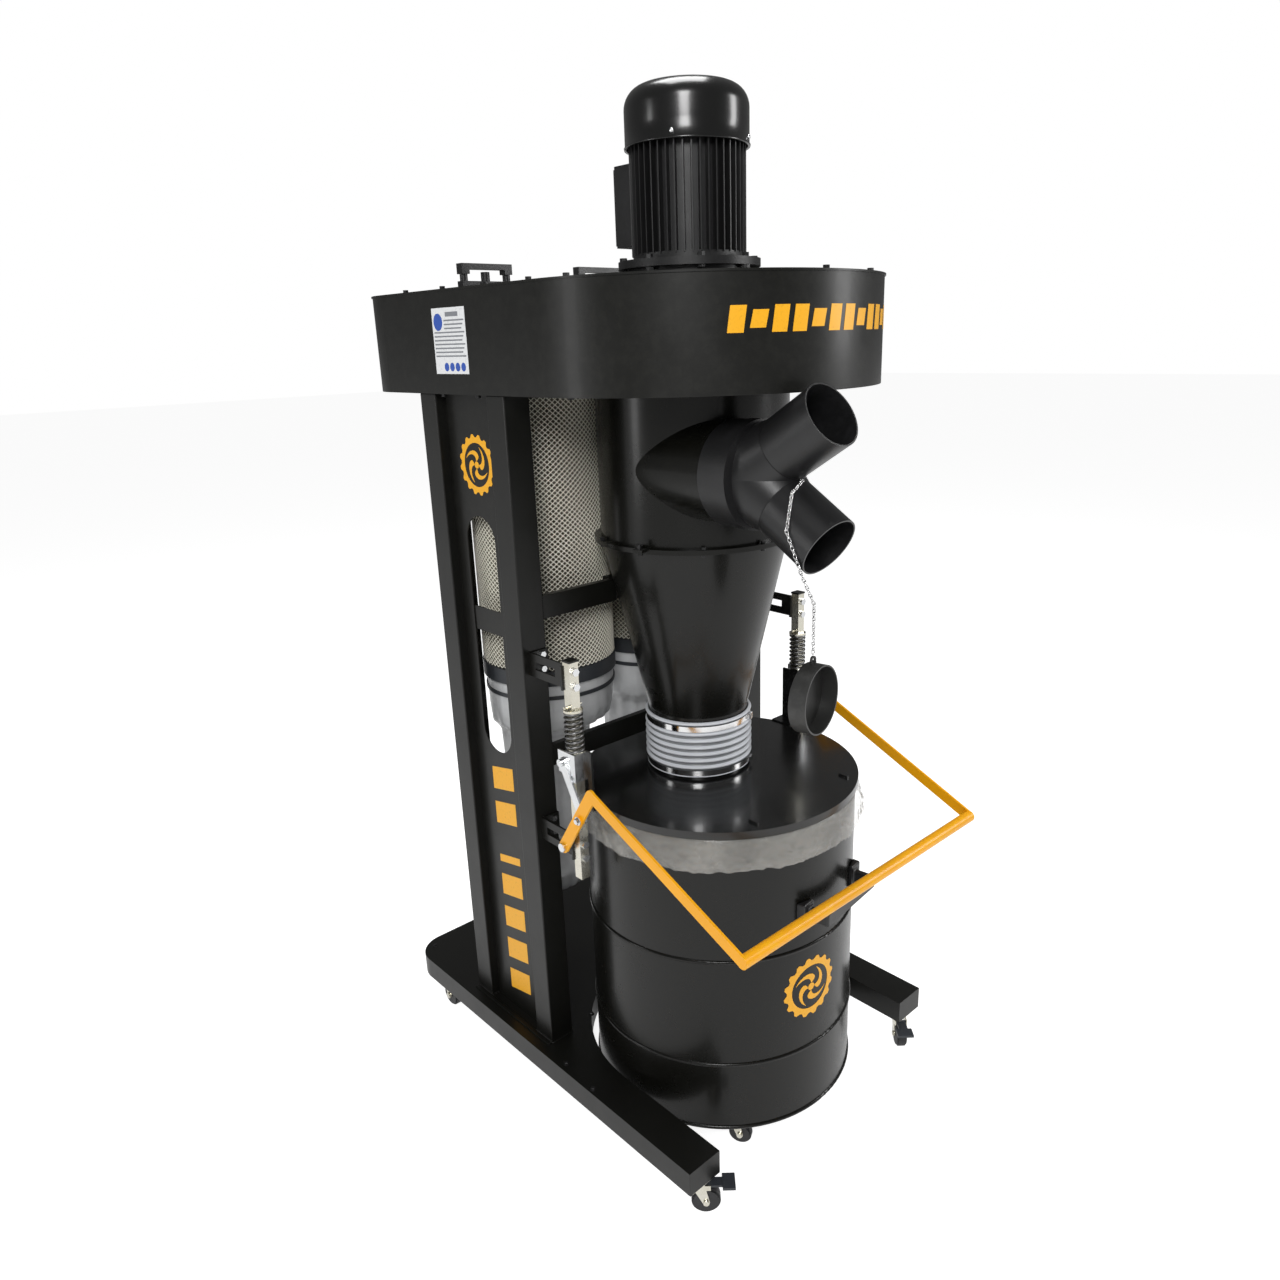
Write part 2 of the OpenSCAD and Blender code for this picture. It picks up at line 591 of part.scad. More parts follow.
// ---- filters ----
module filter_elements() color([0.85, 0.82, 0.72]) both()
  translate([flt_x, flt_y, flt_z]) tube(flt_r - 4, 40, housing_z - flt_z - 8);
module filter_guards() color([0.7, 0.68, 0.6]) both()
  translate([flt_x, flt_y, flt_z]) tube(flt_r, 1.2, housing_z - flt_z - 8);
module filter_rings() color([0.22, 0.22, 0.24]) both() translate([flt_x, flt_y, 0]) {
  translate([0, 0, housing_z - 8]) tube(flt_r, 44, 8);
  translate([0, 0, flt_z - 28]) tube(flt_r + 1.5, 6, 28);
  translate([0, 0, flt_z - 1]) tube(flt_r, 46, 1);
  translate([0, 0, bag_z - 12]) tube(flt_r - 1.4, 2.3, 7);
}
module dust_bags() color([0.75, 0.77, 0.8]) both() translate([flt_x, 0, 0]) difference() {
  bag_body(0);
  bag_body(1);
}
module bag_stage(y, r, z, i) { translate([0, y, z]) cylinder(r = r - i, h = 1); }
module bag_body(i) {
  stages = [[flt_y, flt_r - 4, flt_z - 29.3], [flt_y, flt_r - 4, bag_z - 10], [flt_y + 9, 114, 716],
    [flt_y + 29, 92, 688], [flt_y + 36, 74, bag_end + i * 2]];
  for (k = [0:3]) hull() {
    bag_stage(stages[k][0], stages[k][1], stages[k][2] + (k == 0 ? i : 0), i * 0.8);
    bag_stage(stages[k + 1][0], stages[k + 1][1], stages[k + 1][2], i * 0.8);
  }
}

// ---- filter cleaning cranks ----
module crank_unit(s) color(soft_black) translate([s * flt_x, crank_y, 0]) {
  translate([0, 0, house_top - 40]) cylinder(r = 8, h = 78);
  translate([0, 0, house_top + 0.4]) cylinder(r = 16, h = 10);
  translate([0, 0, house_top + 34]) difference() {
    block([-54, -9, 0], [54, 9, 18]);
    block([-38, -10, -1], [38, 10, 8]);
  }
  for (k = [-1, 1]) translate([k * 46, 0, house_top + 20]) cylinder(r = 7, h = 20);
  block([-54, -9, house_top + 12], [54, 9, house_top + 22]);
}
module left_crank() crank_unit(-1);
module right_crank() crank_unit(1);

// ---- blast cap and chain ----
module cord_run(a, b) {
  v = b - a;
  translate(a) rotate([0, acos(v[2] / norm(v)), atan2(v[1], v[0])]) cylinder(r = 1.4, h = norm(v));
  translate(b) sphere(r = 1.9, $fn = 24);
}
module port_chain() color(zinc) {
  eye = [cap_c[0], cap_c[1] + 18, cap_c[2] + cap_r + 14.5];
  p = [[pipe_x, yoke_y - 97.5, inlet_z + 1.5], [pipe_x - 2, yoke_y - 102, inlet_z - 1],
    [pipe_x - 36, yoke_y - 111, inlet_z - 14], [pipe_x - 54, yoke_y - 116, inlet_z - 66],
    [pipe_x - 46, yoke_y - 137, inlet_z - 126], [cap_c[0], cap_c[1] + 18, inlet_z - 173], eye];
  for (i = [0:len(p) - 2]) cord_run(p[i], p[i + 1]);
}
module port_cap() color(soft_black) translate(cap_c) {
  rotate([90, 0, 11]) difference() {
    translate([0, 0, -28]) cylinder(r = cap_r, h = 28);
    translate([0, 0, -25.5]) cylinder(r = cap_r - 2.5, h = 26);
  }
  translate([0, 18, cap_r - 1]) cylinder(r = 5, h = 5);
  translate([0, 18, cap_r + 4]) difference() {
    rotate([90, 0, 0]) translate([0, 2, -1.5]) cylinder(r = 6, h = 3);
    rotate([90, 0, 0]) translate([0, 2, -3]) cylinder(r = 3, h = 6);
  }
}

base_frame();
columns();
left_side_panel();
right_side_panel();
cross_bars();
housing_shell();
housing_top_plate();
cyclone_barrel();
vortex_tube();
inlet_pipe();
cyclone_cone();
inlet_wye();
lid_hose();
upper_hose_clamp();
lower_hose_clamp();
guide_bars();
guide_brackets();
lift_springs();
motor_frame();
motor_flange();
motor_fan_cover();
junction_box();
filter_elements();
filter_guards();
filter_rings();
dust_bags();
housing_bolts();
flange_bolts();
port_chain();
bracket_bolts();
drum_lid();
lid_gasket();
lid_slides();
lift_handle();
lift_links();
drum();
drum_handles();
drum_liner();
drum_caster_plates();
drum_fork_1();
drum_fork_2();
drum_fork_3();
drum_fork_4();
drum_wheel_1();
drum_wheel_2();
drum_wheel_3();
drum_wheel_4();
caster_plates();
left_fork();
right_fork();
left_wheel();
right_wheel();
left_pedal();
right_pedal();
rear_left_wheel();
rear_right_wheel();
blower_rotor();
left_crank();
right_crank();
port_cap();
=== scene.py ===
"""Looks of the portable cyclone dust collector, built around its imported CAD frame. Metres."""
import math
import random
import json
import bpy
import bmesh
from mathutils import Vector, Matrix, noise


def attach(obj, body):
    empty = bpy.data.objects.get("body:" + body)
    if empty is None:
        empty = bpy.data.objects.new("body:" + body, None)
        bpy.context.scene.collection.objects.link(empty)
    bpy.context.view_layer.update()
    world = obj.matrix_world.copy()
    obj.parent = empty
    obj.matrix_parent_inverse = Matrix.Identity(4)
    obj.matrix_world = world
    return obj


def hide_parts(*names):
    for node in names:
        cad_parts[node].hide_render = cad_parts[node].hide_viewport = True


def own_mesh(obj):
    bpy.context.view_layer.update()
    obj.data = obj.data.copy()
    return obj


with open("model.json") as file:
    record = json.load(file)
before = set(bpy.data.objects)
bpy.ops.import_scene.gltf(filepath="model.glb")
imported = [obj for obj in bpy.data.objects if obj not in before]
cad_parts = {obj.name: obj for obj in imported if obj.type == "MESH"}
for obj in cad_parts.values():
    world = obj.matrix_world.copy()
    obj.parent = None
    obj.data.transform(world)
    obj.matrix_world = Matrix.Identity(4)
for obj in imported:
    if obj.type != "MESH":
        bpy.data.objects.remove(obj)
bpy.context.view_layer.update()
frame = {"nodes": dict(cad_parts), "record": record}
nodes = frame["nodes"]
rng = random.Random(7)

# ---- sizes shared with the CAD ----
BLOW_Y = -0.092
DRUM_Y = -0.144
DRUM_R = 0.251
HOUSE_R = 0.313
FLT = (0.133, 0.184, 0.127)     # filters: distance either side, y, radius
FLT_Z = (0.842, 1.333)
HOSE_Z = (0.660, 0.766)
HOSE_R = 0.0945
SPRING_Z = (0.7643, 0.8357)
GUIDE = (0.291, -0.091)         # guide bars: distance either side, y
PANEL_X = 0.288
BASE_TOP = 0.116


# ---- materials ----
def new_mat(name):
    m = bpy.data.materials.new(name)
    m.use_nodes = True
    t = m.node_tree
    return m, t, t.nodes["Principled BSDF"]


def noise_node(t, scale, detail, rough):
    c = t.nodes.new("ShaderNodeTexCoord")
    n = t.nodes.new("ShaderNodeTexNoise")
    n.inputs["Scale"].default_value = scale
    n.inputs["Detail"].default_value = detail
    n.inputs["Roughness"].default_value = rough
    t.links.new(c.outputs["Object"], n.inputs["Vector"])
    return n


def ramp(t, src, stops):
    """Colour ramp with two stops, each (position, colour)."""
    r = t.nodes.new("ShaderNodeValToRGB")
    for e, (pos, col) in zip(r.color_ramp.elements, stops):
        e.position = pos
        e.color = (*col, 1)
    t.links.new(src, r.inputs["Fac"])
    return r


def bump(t, b, height, strength, dist):
    n = t.nodes.new("ShaderNodeBump")
    n.inputs["Strength"].default_value = strength
    n.inputs["Distance"].default_value = dist
    t.links.new(height, n.inputs["Height"])
    t.links.new(n.outputs["Normal"], b.inputs["Normal"])


def times(t, a, b):
    """Product of a socket and a socket or number."""
    n = t.nodes.new("ShaderNodeMath")
    n.operation = "MULTIPLY"
    t.links.new(a, n.inputs[0])
    if isinstance(b, float):
        n.inputs[1].default_value = b
    else:
        t.links.new(b, n.inputs[1])
    return n.outputs[0]


def stretched_noise(t, scale, detail, stretch):
    """Noise drawn out along an axis, for fibres and drawn lines."""
    c = t.nodes.new("ShaderNodeTexCoord")
    m = t.nodes.new("ShaderNodeMapping")
    m.inputs["Scale"].default_value = stretch
    t.links.new(c.outputs["Object"], m.inputs["Vector"])
    n = t.nodes.new("ShaderNodeTexNoise")
    n.inputs["Scale"].default_value = scale
    n.inputs["Detail"].default_value = detail
    t.links.new(m.outputs["Vector"], n.inputs["Vector"])
    return n


def scaled(c, k):
    return tuple(min(1.0, v * k) for v in c)


def grey(v):
    return (min(1.0, v),) * 3


def coated(name, col, rough, grain, coat=0.0, scale=900, spread=0.18, wear=0.0, shine=0.5):
    """Powder coat, paint or moulded plastic: uneven colour, orange-peel bump and cloudy gloss.

    wear is how much lighter the colour gets at worn edges, and shine the specular level."""
    m, t, b = new_mat(name)
    big = noise_node(t, 6.0, 5.0, 0.6)
    c = ramp(t, big.outputs["Fac"], [(0.3, scaled(col, 1 - spread)), (0.7, scaled(col, 1 + spread))])
    out = c.outputs["Color"]
    if wear:
        g = t.nodes.new("ShaderNodeNewGeometry")
        edge = ramp(t, g.outputs["Pointiness"], [(0.53, grey(0)), (0.60, grey(1))])
        fine = noise_node(t, 60.0, 6.0, 0.7)
        patch = ramp(t, fine.outputs["Fac"], [(0.45, grey(0)), (0.62, grey(1))])
        worn = times(t, edge.outputs["Color"], patch.outputs["Color"])
        mix = t.nodes.new("ShaderNodeMix")
        mix.data_type = "RGBA"
        t.links.new(times(t, worn, wear), mix.inputs["Factor"])
        t.links.new(out, mix.inputs["A"])
        mix.inputs["B"].default_value = (*scaled(col, 2.2), 1)
        out = mix.outputs["Result"]
    t.links.new(out, b.inputs["Base Color"])
    b.inputs["Specular IOR Level"].default_value = shine
    b.inputs["Coat Weight"].default_value = coat
    b.inputs["Coat Roughness"].default_value = 0.12
    cloud = noise_node(t, 14.0, 6.0, 0.65)
    gloss = ramp(t, cloud.outputs["Fac"], [(0.25, grey(rough * 0.86)), (0.75, grey(rough * 1.16))])
    t.links.new(gloss.outputs["Color"], b.inputs["Roughness"])
    peel = noise_node(t, scale, 2.0, 0.5)
    bump(t, b, peel.outputs["Fac"], grain, 0.0004)
    return m


def metal(name, col, rough, tint, scratch):
    """Zinc plate or stainless strip: cloudy tint, fine drawn lines and smudges in the gloss."""
    m, t, b = new_mat(name)
    cloud = noise_node(t, 22.0, 6.0, 0.65)
    c = ramp(t, cloud.outputs["Fac"], [(0.32, tint), (0.62, col)])
    t.links.new(c.outputs["Color"], b.inputs["Base Color"])
    b.inputs["Metallic"].default_value = 1.0
    drawn = stretched_noise(t, 320.0, 3.0, (1, 1, 12))
    gloss = ramp(t, cloud.outputs["Fac"], [(0.3, grey(rough * 0.7)), (0.7, grey(rough * 1.4))])
    t.links.new(gloss.outputs["Color"], b.inputs["Roughness"])
    bump(t, b, drawn.outputs["Fac"], scratch, 0.0003)
    return m


def film(name, col, alpha, rough, wrinkle, scale):
    """Thin plastic film that can be seen through in part, with creases in its bump."""
    m, t, b = new_mat(name)
    cl = noise_node(t, 9.0, 5.0, 0.6)
    c = ramp(t, cl.outputs["Fac"], [(0.3, scaled(col, 0.82)), (0.7, scaled(col, 1.08))])
    t.links.new(c.outputs["Color"], b.inputs["Base Color"])
    b.inputs["Roughness"].default_value = rough
    haze = noise_node(t, 7.0, 4.0, 0.6)
    seen = ramp(t, haze.outputs["Fac"], [(0.25, grey(max(0.05, alpha - 0.12))), (0.75, grey(alpha + 0.14))])
    t.links.new(seen.outputs["Color"], b.inputs["Alpha"])
    b.inputs["Coat Weight"].default_value = 0.4
    b.inputs["Coat Roughness"].default_value = 0.15
    w = noise_node(t, scale, 8.0, 0.62)
    w.inputs["Distortion"].default_value = 1.4
    bump(t, b, w.outputs["Fac"], wrinkle, 0.006)
    return m


def fibres(name, col, dark, scale, stretch):
    """Felted filter media: fibres in the colour and the bump."""
    m, t, b = new_mat(name)
    n = stretched_noise(t, scale, 6.0, stretch)
    c = ramp(t, n.outputs["Fac"], [(0.35, dark), (0.65, col)])
    t.links.new(c.outputs["Color"], b.inputs["Base Color"])
    b.inputs["Roughness"].default_value = 0.85
    bump(t, b, n.outputs["Fac"], 0.4, 0.0006)
    return m


def marks(name, col):
    """Printed vinyl, slightly uneven and worn at its grain."""
    m, t, b = new_mat(name)
    n = noise_node(t, 180.0, 6.0, 0.7)
    c = ramp(t, n.outputs["Fac"], [(0.30, scaled(col, 0.78)), (0.45, col)])
    t.links.new(c.outputs["Color"], b.inputs["Base Color"])
    b.inputs["Roughness"].default_value = 0.42
    bump(t, b, n.outputs["Fac"], 0.1, 0.0003)
    return m


MAT = {
    "black_steel": coated("black_powder_coat", (0.0056, 0.0056, 0.0046), 0.36, 0.10, coat=0.05,
                          scale=620, spread=0.10, wear=0.5, shine=0.33),
    # shell_black is the gloss enamel again, made darker and less shiny for the drum and cyclone: its darker
    # colour is painted shade
    "shell_black": coated("shell_enamel_painted_shade", (0.0040, 0.0040, 0.0030), 0.26, 0.06, coat=0.10,
                          scale=380, spread=0.10, wear=0.3, shine=0.28),
    "cap_black": coated("satin_cap_plastic", (0.022, 0.022, 0.021), 0.40, 0.2, scale=1200, wear=0.4),
    "gloss_black": coated("gloss_black_enamel", (0.0055, 0.0056, 0.0054), 0.24, 0.06, coat=0.25,
                          scale=380, spread=0.10, wear=0.3),
    "black_plastic": coated("satin_black_plastic", (0.0095, 0.0095, 0.0100), 0.36, 0.22, scale=1400, wear=0.4),
    "cast_black": coated("cast_black_paint", (0.0065, 0.0065, 0.0068), 0.44, 0.4, scale=700, wear=0.6),
    "zinc": metal("zinc_plate", (0.72, 0.70, 0.62), 0.24, (0.60, 0.57, 0.47), scratch=0.05),
    "steel_bright": metal("bright_zinc", (0.78, 0.79, 0.80), 0.20, (0.66, 0.67, 0.68), scratch=0.05),
    "stainless": metal("stainless_strip", (0.80, 0.80, 0.80), 0.12, (0.70, 0.70, 0.70), scratch=0.03),
    "orange_paint": coated("orange_powder_coat", (0.88, 0.39, 0.004), 0.34, 0.15, coat=0.08,
                           scale=500, spread=0.07, wear=0.1, shine=0.35),
    "hose_white": coated("ribbed_hose", (0.66, 0.68, 0.72), 0.38, 0.3, scale=500, spread=0.06),
    "hose_wall": coated("hose_wall_film", (0.20, 0.21, 0.22), 0.30, 0.3, scale=500, spread=0.1),
    "filter_media": fibres("filter_media", (0.27, 0.25, 0.19), (0.15, 0.14, 0.11), 60, (1, 1, 6)),
    "guard_mesh": coated("guard_wire", (0.84, 0.81, 0.70), 0.38, 0.3, scale=900, spread=0.12),
    "bag_film": film("dust_bag_film", (0.74, 0.75, 0.76), 0.55, 0.30, 0.8, 14.0),
    "liner_film": film("drum_liner_film", (0.66, 0.65, 0.61), 0.22, 0.12, 1.0, 26.0),
    "rubber": coated("rubber", (0.012, 0.012, 0.012), 0.75, 0.5, scale=900),
    "foam": coated("foam_gasket", (0.012, 0.012, 0.012), 0.9, 0.9, scale=260),
    "wheel_tread": coated("wheel_rubber", (0.020, 0.020, 0.022), 0.55, 0.5, scale=700, spread=0.3),
    "pedal_grey": coated("pedal_plastic", (0.030, 0.034, 0.042), 0.45, 0.4, scale=1100),
    "spring_steel": metal("spring_wire", (0.26, 0.26, 0.26), 0.30, (0.14, 0.14, 0.14), scratch=0.05),
    "ring_grey": coated("bag_ring_grey", (0.030, 0.033, 0.038), 0.5, 0.3, scale=900),
    "orange_print": marks("orange_vinyl", (0.90, 0.43, 0.008)),
    "white_print": marks("white_label", (0.78, 0.79, 0.80)),
    "blue_print": marks("blue_print", (0.03, 0.09, 0.42)),
    "grey_print": marks("grey_print", (0.22, 0.23, 0.25)),
}

# each node has the look of its slot in the record, except these
NODE_LOOKS = {
    "gloss_black": ("drum_lid", "motor_fan_cover"),
    # the drum, cyclone and inlet take the darker copy of the gloss enamel, a painted shade
    "shell_black": ("drum", "cyclone_cone", "cyclone_barrel", "inlet_pipe"),
    "steel_bright": ("lift_links", "lid_slides", "bracket_bolts"),
    "cap_black": ("port_cap",),
    "ring_grey": ("filter_rings",),
}
look_of = {s["node"]: s["material_slot"] for s in frame["record"]["subparts"]}
look_of.update({name: look for look, names in NODE_LOOKS.items() for name in names})
for name, ob in nodes.items():
    mat = MAT[look_of[name]]
    if not ob.data.materials:
        ob.data.materials.append(mat)
    for i in range(len(ob.material_slots)):
        ob.material_slots[i].material = mat


# ---- mesh helpers ----
def obj_from(name, verts, faces, mat, smooth=True):
    """New object in the scene, with its normals pointing outwards."""
    me = bpy.data.meshes.new(name)
    me.from_pydata([tuple(v) for v in verts], [], faces)
    me.update()
    bm = bmesh.new()
    bm.from_mesh(me)
    bmesh.ops.recalc_face_normals(bm, faces=bm.faces)
    bm.to_mesh(me)
    bm.free()
    if smooth:
        me.polygons.foreach_set("use_smooth", [True] * len(me.polygons))
    me.materials.append(mat)
    o = bpy.data.objects.new(name, me)
    bpy.context.scene.collection.objects.link(o)
    return o


def sweep(points, radius, sides=8, closed=False, up=None):
    """Vertices and faces of a round wire along the points, with flat ends."""
    pts = [Vector(p) for p in points]
    n = len(pts)
    verts, faces = [], []
    u = None
    for i, p in enumerate(pts):
        a = pts[i - 1] if i or closed else p
        b = pts[(i + 1) % n] if i < n - 1 or closed else p
        d = (b - a).normalized()
        if u is None:
            u = up or (Vector((0, 0, 1)) if abs(d.z) < 0.9 else Vector((1, 0, 0)))
        u = (u - d * u.dot(d)).normalized()
        w = d.cross(u)
        for k in range(sides):
            t = 2 * math.pi * k / sides
            verts.append(p + radius * (math.cos(t) * u + math.sin(t) * w))
    rows = n if closed else n - 1
    for i in range(rows):
        j = (i + 1) % n
        for k in range(sides):
            q = (k + 1) % sides
            faces.append((i * sides + k, i * sides + q, j * sides + q, j * sides + k))
    if not closed:
        faces.append(tuple(range(sides))[::-1])
        faces.append(tuple((n - 1) * sides + k for k in range(sides)))
    return verts, faces


def merged(parts):
    """Vertices and faces of several parts as one."""
    verts, faces = [], []
    for v, f in parts:
        k = len(verts)
        verts += list(v)
        faces += [tuple(i + k for i in q) for q in f]
    return verts, faces


def lathe(profile, n, closed_profile=False):
    """Surface of revolution about z through the profile points (r, z)."""
    verts, faces = [], []
    m = len(profile)
    for i in range(n):
        a = 2 * math.pi * i / n
        for r, z in profile:
            verts.append((r * math.cos(a), r * math.sin(a), z))
    span = m if closed_profile else m - 1
    for i in range(n):
        j = (i + 1) % n
        for k in range(span):
            q = (k + 1) % m
            faces.append((i * m + k, j * m + k, j * m + q, i * m + q))
    return verts, faces


def shifted(vf, d):
    d = Vector(d)
    return [Vector(v) + d for v in vf[0]], vf[1]


def fit(obj, body, replaces=None):
    """Rides the piece on its body and hides the CAD node it stands for."""
    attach(obj, body)
    if replaces:
        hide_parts(replaces)
    return obj


def film_thickness(obj, thickness, offset):
    m = obj.modifiers.new("film", "SOLIDIFY")
    m.thickness = thickness
    m.offset = offset


# ---- lift springs: wire coils ----
def coil(side):
    turns, wire, r, steps = 9, 0.0022, 0.0145, 20
    closed = 0.06               # share of the wire wound flat at each end
    z0, z1 = SPRING_Z[0] + wire, SPRING_Z[1] - wire
    pts = []
    for i in range(turns * steps + 1):
        f = i / (turns * steps)
        rise = min(1.0, max(0.0, (f - closed) / (1 - 2 * closed)))
        a = f * turns * 2 * math.pi
        pts.append((side * GUIDE[0] + r * math.cos(a), GUIDE[1] + r * math.sin(a), z0 + (z1 - z0) * rise))
    return sweep(pts, wire, 8)


springs = obj_from("spring_coils", *merged([coil(-1), coil(1)]), MAT["spring_steel"])
fit(springs, "frame", "lift_springs")
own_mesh(springs)

# ---- hose: rolled ribs between the cone's neck and the lid ----
# each rib is (height of its middle, radius), from the top down
RIBS = [(0.7628, 0.0030)] + [(0.7432 - 0.0128 * k, 0.0034) for k in range(6)] + [(0.6614, 0.0014)]
WALL_R, WALL_INNER_R = HOSE_R - 0.0004, HOSE_R - 0.0019
HOSE_TOP, HOSE_FOOT = HOSE_Z[1] - 0.0001, HOSE_Z[0] + 0.0001
hose_profile = [(WALL_R, HOSE_TOP)]
for z, r in RIBS:
    for k in range(9):
        a = math.pi * (0.5 - k / 8)
        hose_profile.append((WALL_R + (r + 0.0018) * math.cos(a), z + r * math.sin(a)))
hose_profile += [(WALL_R, HOSE_FOOT), (WALL_INNER_R, HOSE_FOOT), (WALL_INNER_R, HOSE_TOP)]
hose = obj_from("ribbed_hose", *shifted(lathe(hose_profile, 96, True), (0, BLOW_Y, 0)), MAT["hose_white"])
hose.data.materials.append(MAT["hose_wall"])
for face in hose.data.polygons:
    if math.hypot(face.center[0], face.center[1] - BLOW_Y) < HOSE_R + 0.0004:
        face.material_index = 1
fit(hose, "frame", "lid_hose")
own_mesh(hose)


# ---- filter guards: expanded diamond mesh ----
def guard(side):
    parts = []
    cells, cell_height, wire, end = 78, 0.0090, 0.0008, 0.002
    height = FLT_Z[1] - FLT_Z[0] - 2 * end
    rows = int(height / cell_height)
    for d in (-1, 1):
        r = FLT[2] - 0.0009 + 0.0004 * d
        for k in range(cells):
            pts = []
            for i in range(rows + 1):
                a = 2 * math.pi * (k + d * i) / cells
                pts.append((side * FLT[0] + r * math.cos(a), FLT[1] + r * math.sin(a),
                            FLT_Z[0] + end + height * i / rows))
            parts.append(sweep(pts, wire, 4))
    return merged(parts)


wires = obj_from("filter_guard_mesh", *merged([guard(-1), guard(1)]), MAT["guard_mesh"], smooth=False)
fit(wires, "frame", "filter_guards")


# ---- pleated filter cartridges behind the guards ----
def cartridge(side):
    wave = (0.0, 0.75, 1.0, 0.75)
    n = 110 * len(wave)
    core, r0, r1 = FLT[2] - 0.040, FLT[2] - 0.022, FLT[2] - 0.0032
    low, high = FLT_Z[0] + 0.001, FLT_Z[1] - 0.001
    verts, faces = [], []
    for i in range(n):
        a = 2 * math.pi * i / n
        r = r0 + (r1 - r0) * wave[i % len(wave)]
        for rr, z in ((core, low), (r, low), (r, high), (core, high)):
            verts.append((side * FLT[0] + rr * math.cos(a), FLT[1] + rr * math.sin(a), z))
    for i in range(n):
        j = (i + 1) % n
        for k in range(4):
            q = (k + 1) % 4
            faces.append((i * 4 + k, j * 4 + k, j * 4 + q, i * 4 + q))
    return verts, faces


pleated = obj_from("pleated_filters", *merged([cartridge(-1), cartridge(1)]), MAT["filter_media"], smooth=False)
fit(pleated, "frame", "filter_elements")


# ---- motor fan cover: pressed cap with rounded shoulder, rolled rim, vents and screws ----
COVER_Z = (1.704, 1.797)
COVER_R = 0.0985


def fan_cover():
    n, shoulder, crown = 132, 0.034, 0.004
    low, high = COVER_Z
    profile = [(COVER_R - 0.0022, low + 0.0005), (COVER_R + 0.0012, low), (COVER_R + 0.0016, low + 0.0022),
               (COVER_R, low + 0.0040), (COVER_R, low + 0.03), (COVER_R, high - crown - shoulder)]
    for k in range(1, 11):
        a = math.pi / 2 * k / 10
        profile.append((COVER_R - shoulder * (1 - math.cos(a)), high - crown - shoulder * (1 - math.sin(a))))
    profile += [(0.058, high - 0.0026), (0.050, high - 0.0016)]
    parts = [lathe(profile, n)]
    # slotted crown: rings joined by spokes, with open arcs between them and a closed disc in the middle
    rings, ring_width, hub, spokes, half_spoke = [0.050, 0.038, 0.026], 0.004, 0.014, 12, 0.0022
    z = high - 0.0008
    for r in rings:
        inner = r - ring_width
        parts.append(lathe([(r, z - 0.0008), (r, z), (inner, z), (inner, z - 0.0008)], n, True))
    for i, (r, inner) in enumerate(zip(rings, rings[1:] + [hub])):
        outer = r - ring_width
        for k in range(spokes):
            t = 2 * math.pi * (k + 0.5 * (i % 2)) / spokes
            d = Vector((math.cos(t), math.sin(t), 0))
            q = Vector((-d.y, d.x, 0)) * half_spoke
            pts = [d * inner - q, d * outer - q, d * outer + q, d * inner + q]
            box = [p + Vector((0, 0, level)) for level in (z - 0.0009, z - 0.0001) for p in pts]
            parts.append((box, [(0, 1, 2, 3), (4, 7, 6, 5), (0, 4, 5, 1),
                                (1, 5, 6, 2), (2, 6, 7, 3), (3, 7, 4, 0)]))
    disc_profile = [(0.0004, z), (0.010, z), (hub, z - 0.0002), (hub, z - 0.0009), (0.0004, z - 0.0009)]
    parts.append(lathe(disc_profile, 48, True))
    return shifted(merged(parts), (0, BLOW_Y, 0))


cover = obj_from("fan_cover_cap", *fan_cover(), MAT["gloss_black"])
fit(cover, "frame", "motor_fan_cover")


def screw(radius, heading, z, axis_y):
    """Round head with a dimple, pointing outwards from a vertical cylinder."""
    size, n = 0.0036, 20
    d = Vector((math.cos(math.radians(heading)), math.sin(math.radians(heading)), 0))
    side, upward = Vector((-d.y, d.x, 0)), Vector((0, 0, 1))
    base = d * radius + Vector((0, axis_y, z))
    verts, faces = [], []
    profile = [(1.0, 0.0), (1.0, 0.3), (0.8, 0.62), (0.42, 0.78), (0.18, 0.60), (0.0, 0.55)]
    for r, h in profile:
        for k in range(n):
            t = 2 * math.pi * k / n
            verts.append(base + side * size * r * math.cos(t) + upward * size * r * math.sin(t) + d * size * h)
    for i in range(len(profile) - 1):
        for k in range(n):
            faces.append((i * n + k, i * n + (k + 1) % n, (i + 1) * n + (k + 1) % n, (i + 1) * n + k))
    return verts, faces


heads = [screw(COVER_R - 0.0004, heading, COVER_Z[0] + 0.0105, BLOW_Y) for heading in (-58, 32, 122, 212)]
fit(obj_from("cover_screws", *merged(heads), MAT["steel_bright"]), "frame")


# ---- dust bags: thin film that hangs in folds from the rings ----
# (height, y of the middle, radius) from the ring down
BAG_STAGES = [(0.813, 0.184, 0.1228), (0.788, 0.184, 0.1228), (0.745, 0.186, 0.1226), (0.718, 0.191, 0.1190),
              (0.703, 0.203, 0.1030), (0.688, 0.213, 0.0915), (0.560, 0.2155, 0.0855), (0.430, 0.2180, 0.0790),
              (0.345, 0.2198, 0.0740), (0.331, 0.2200, 0.066)]


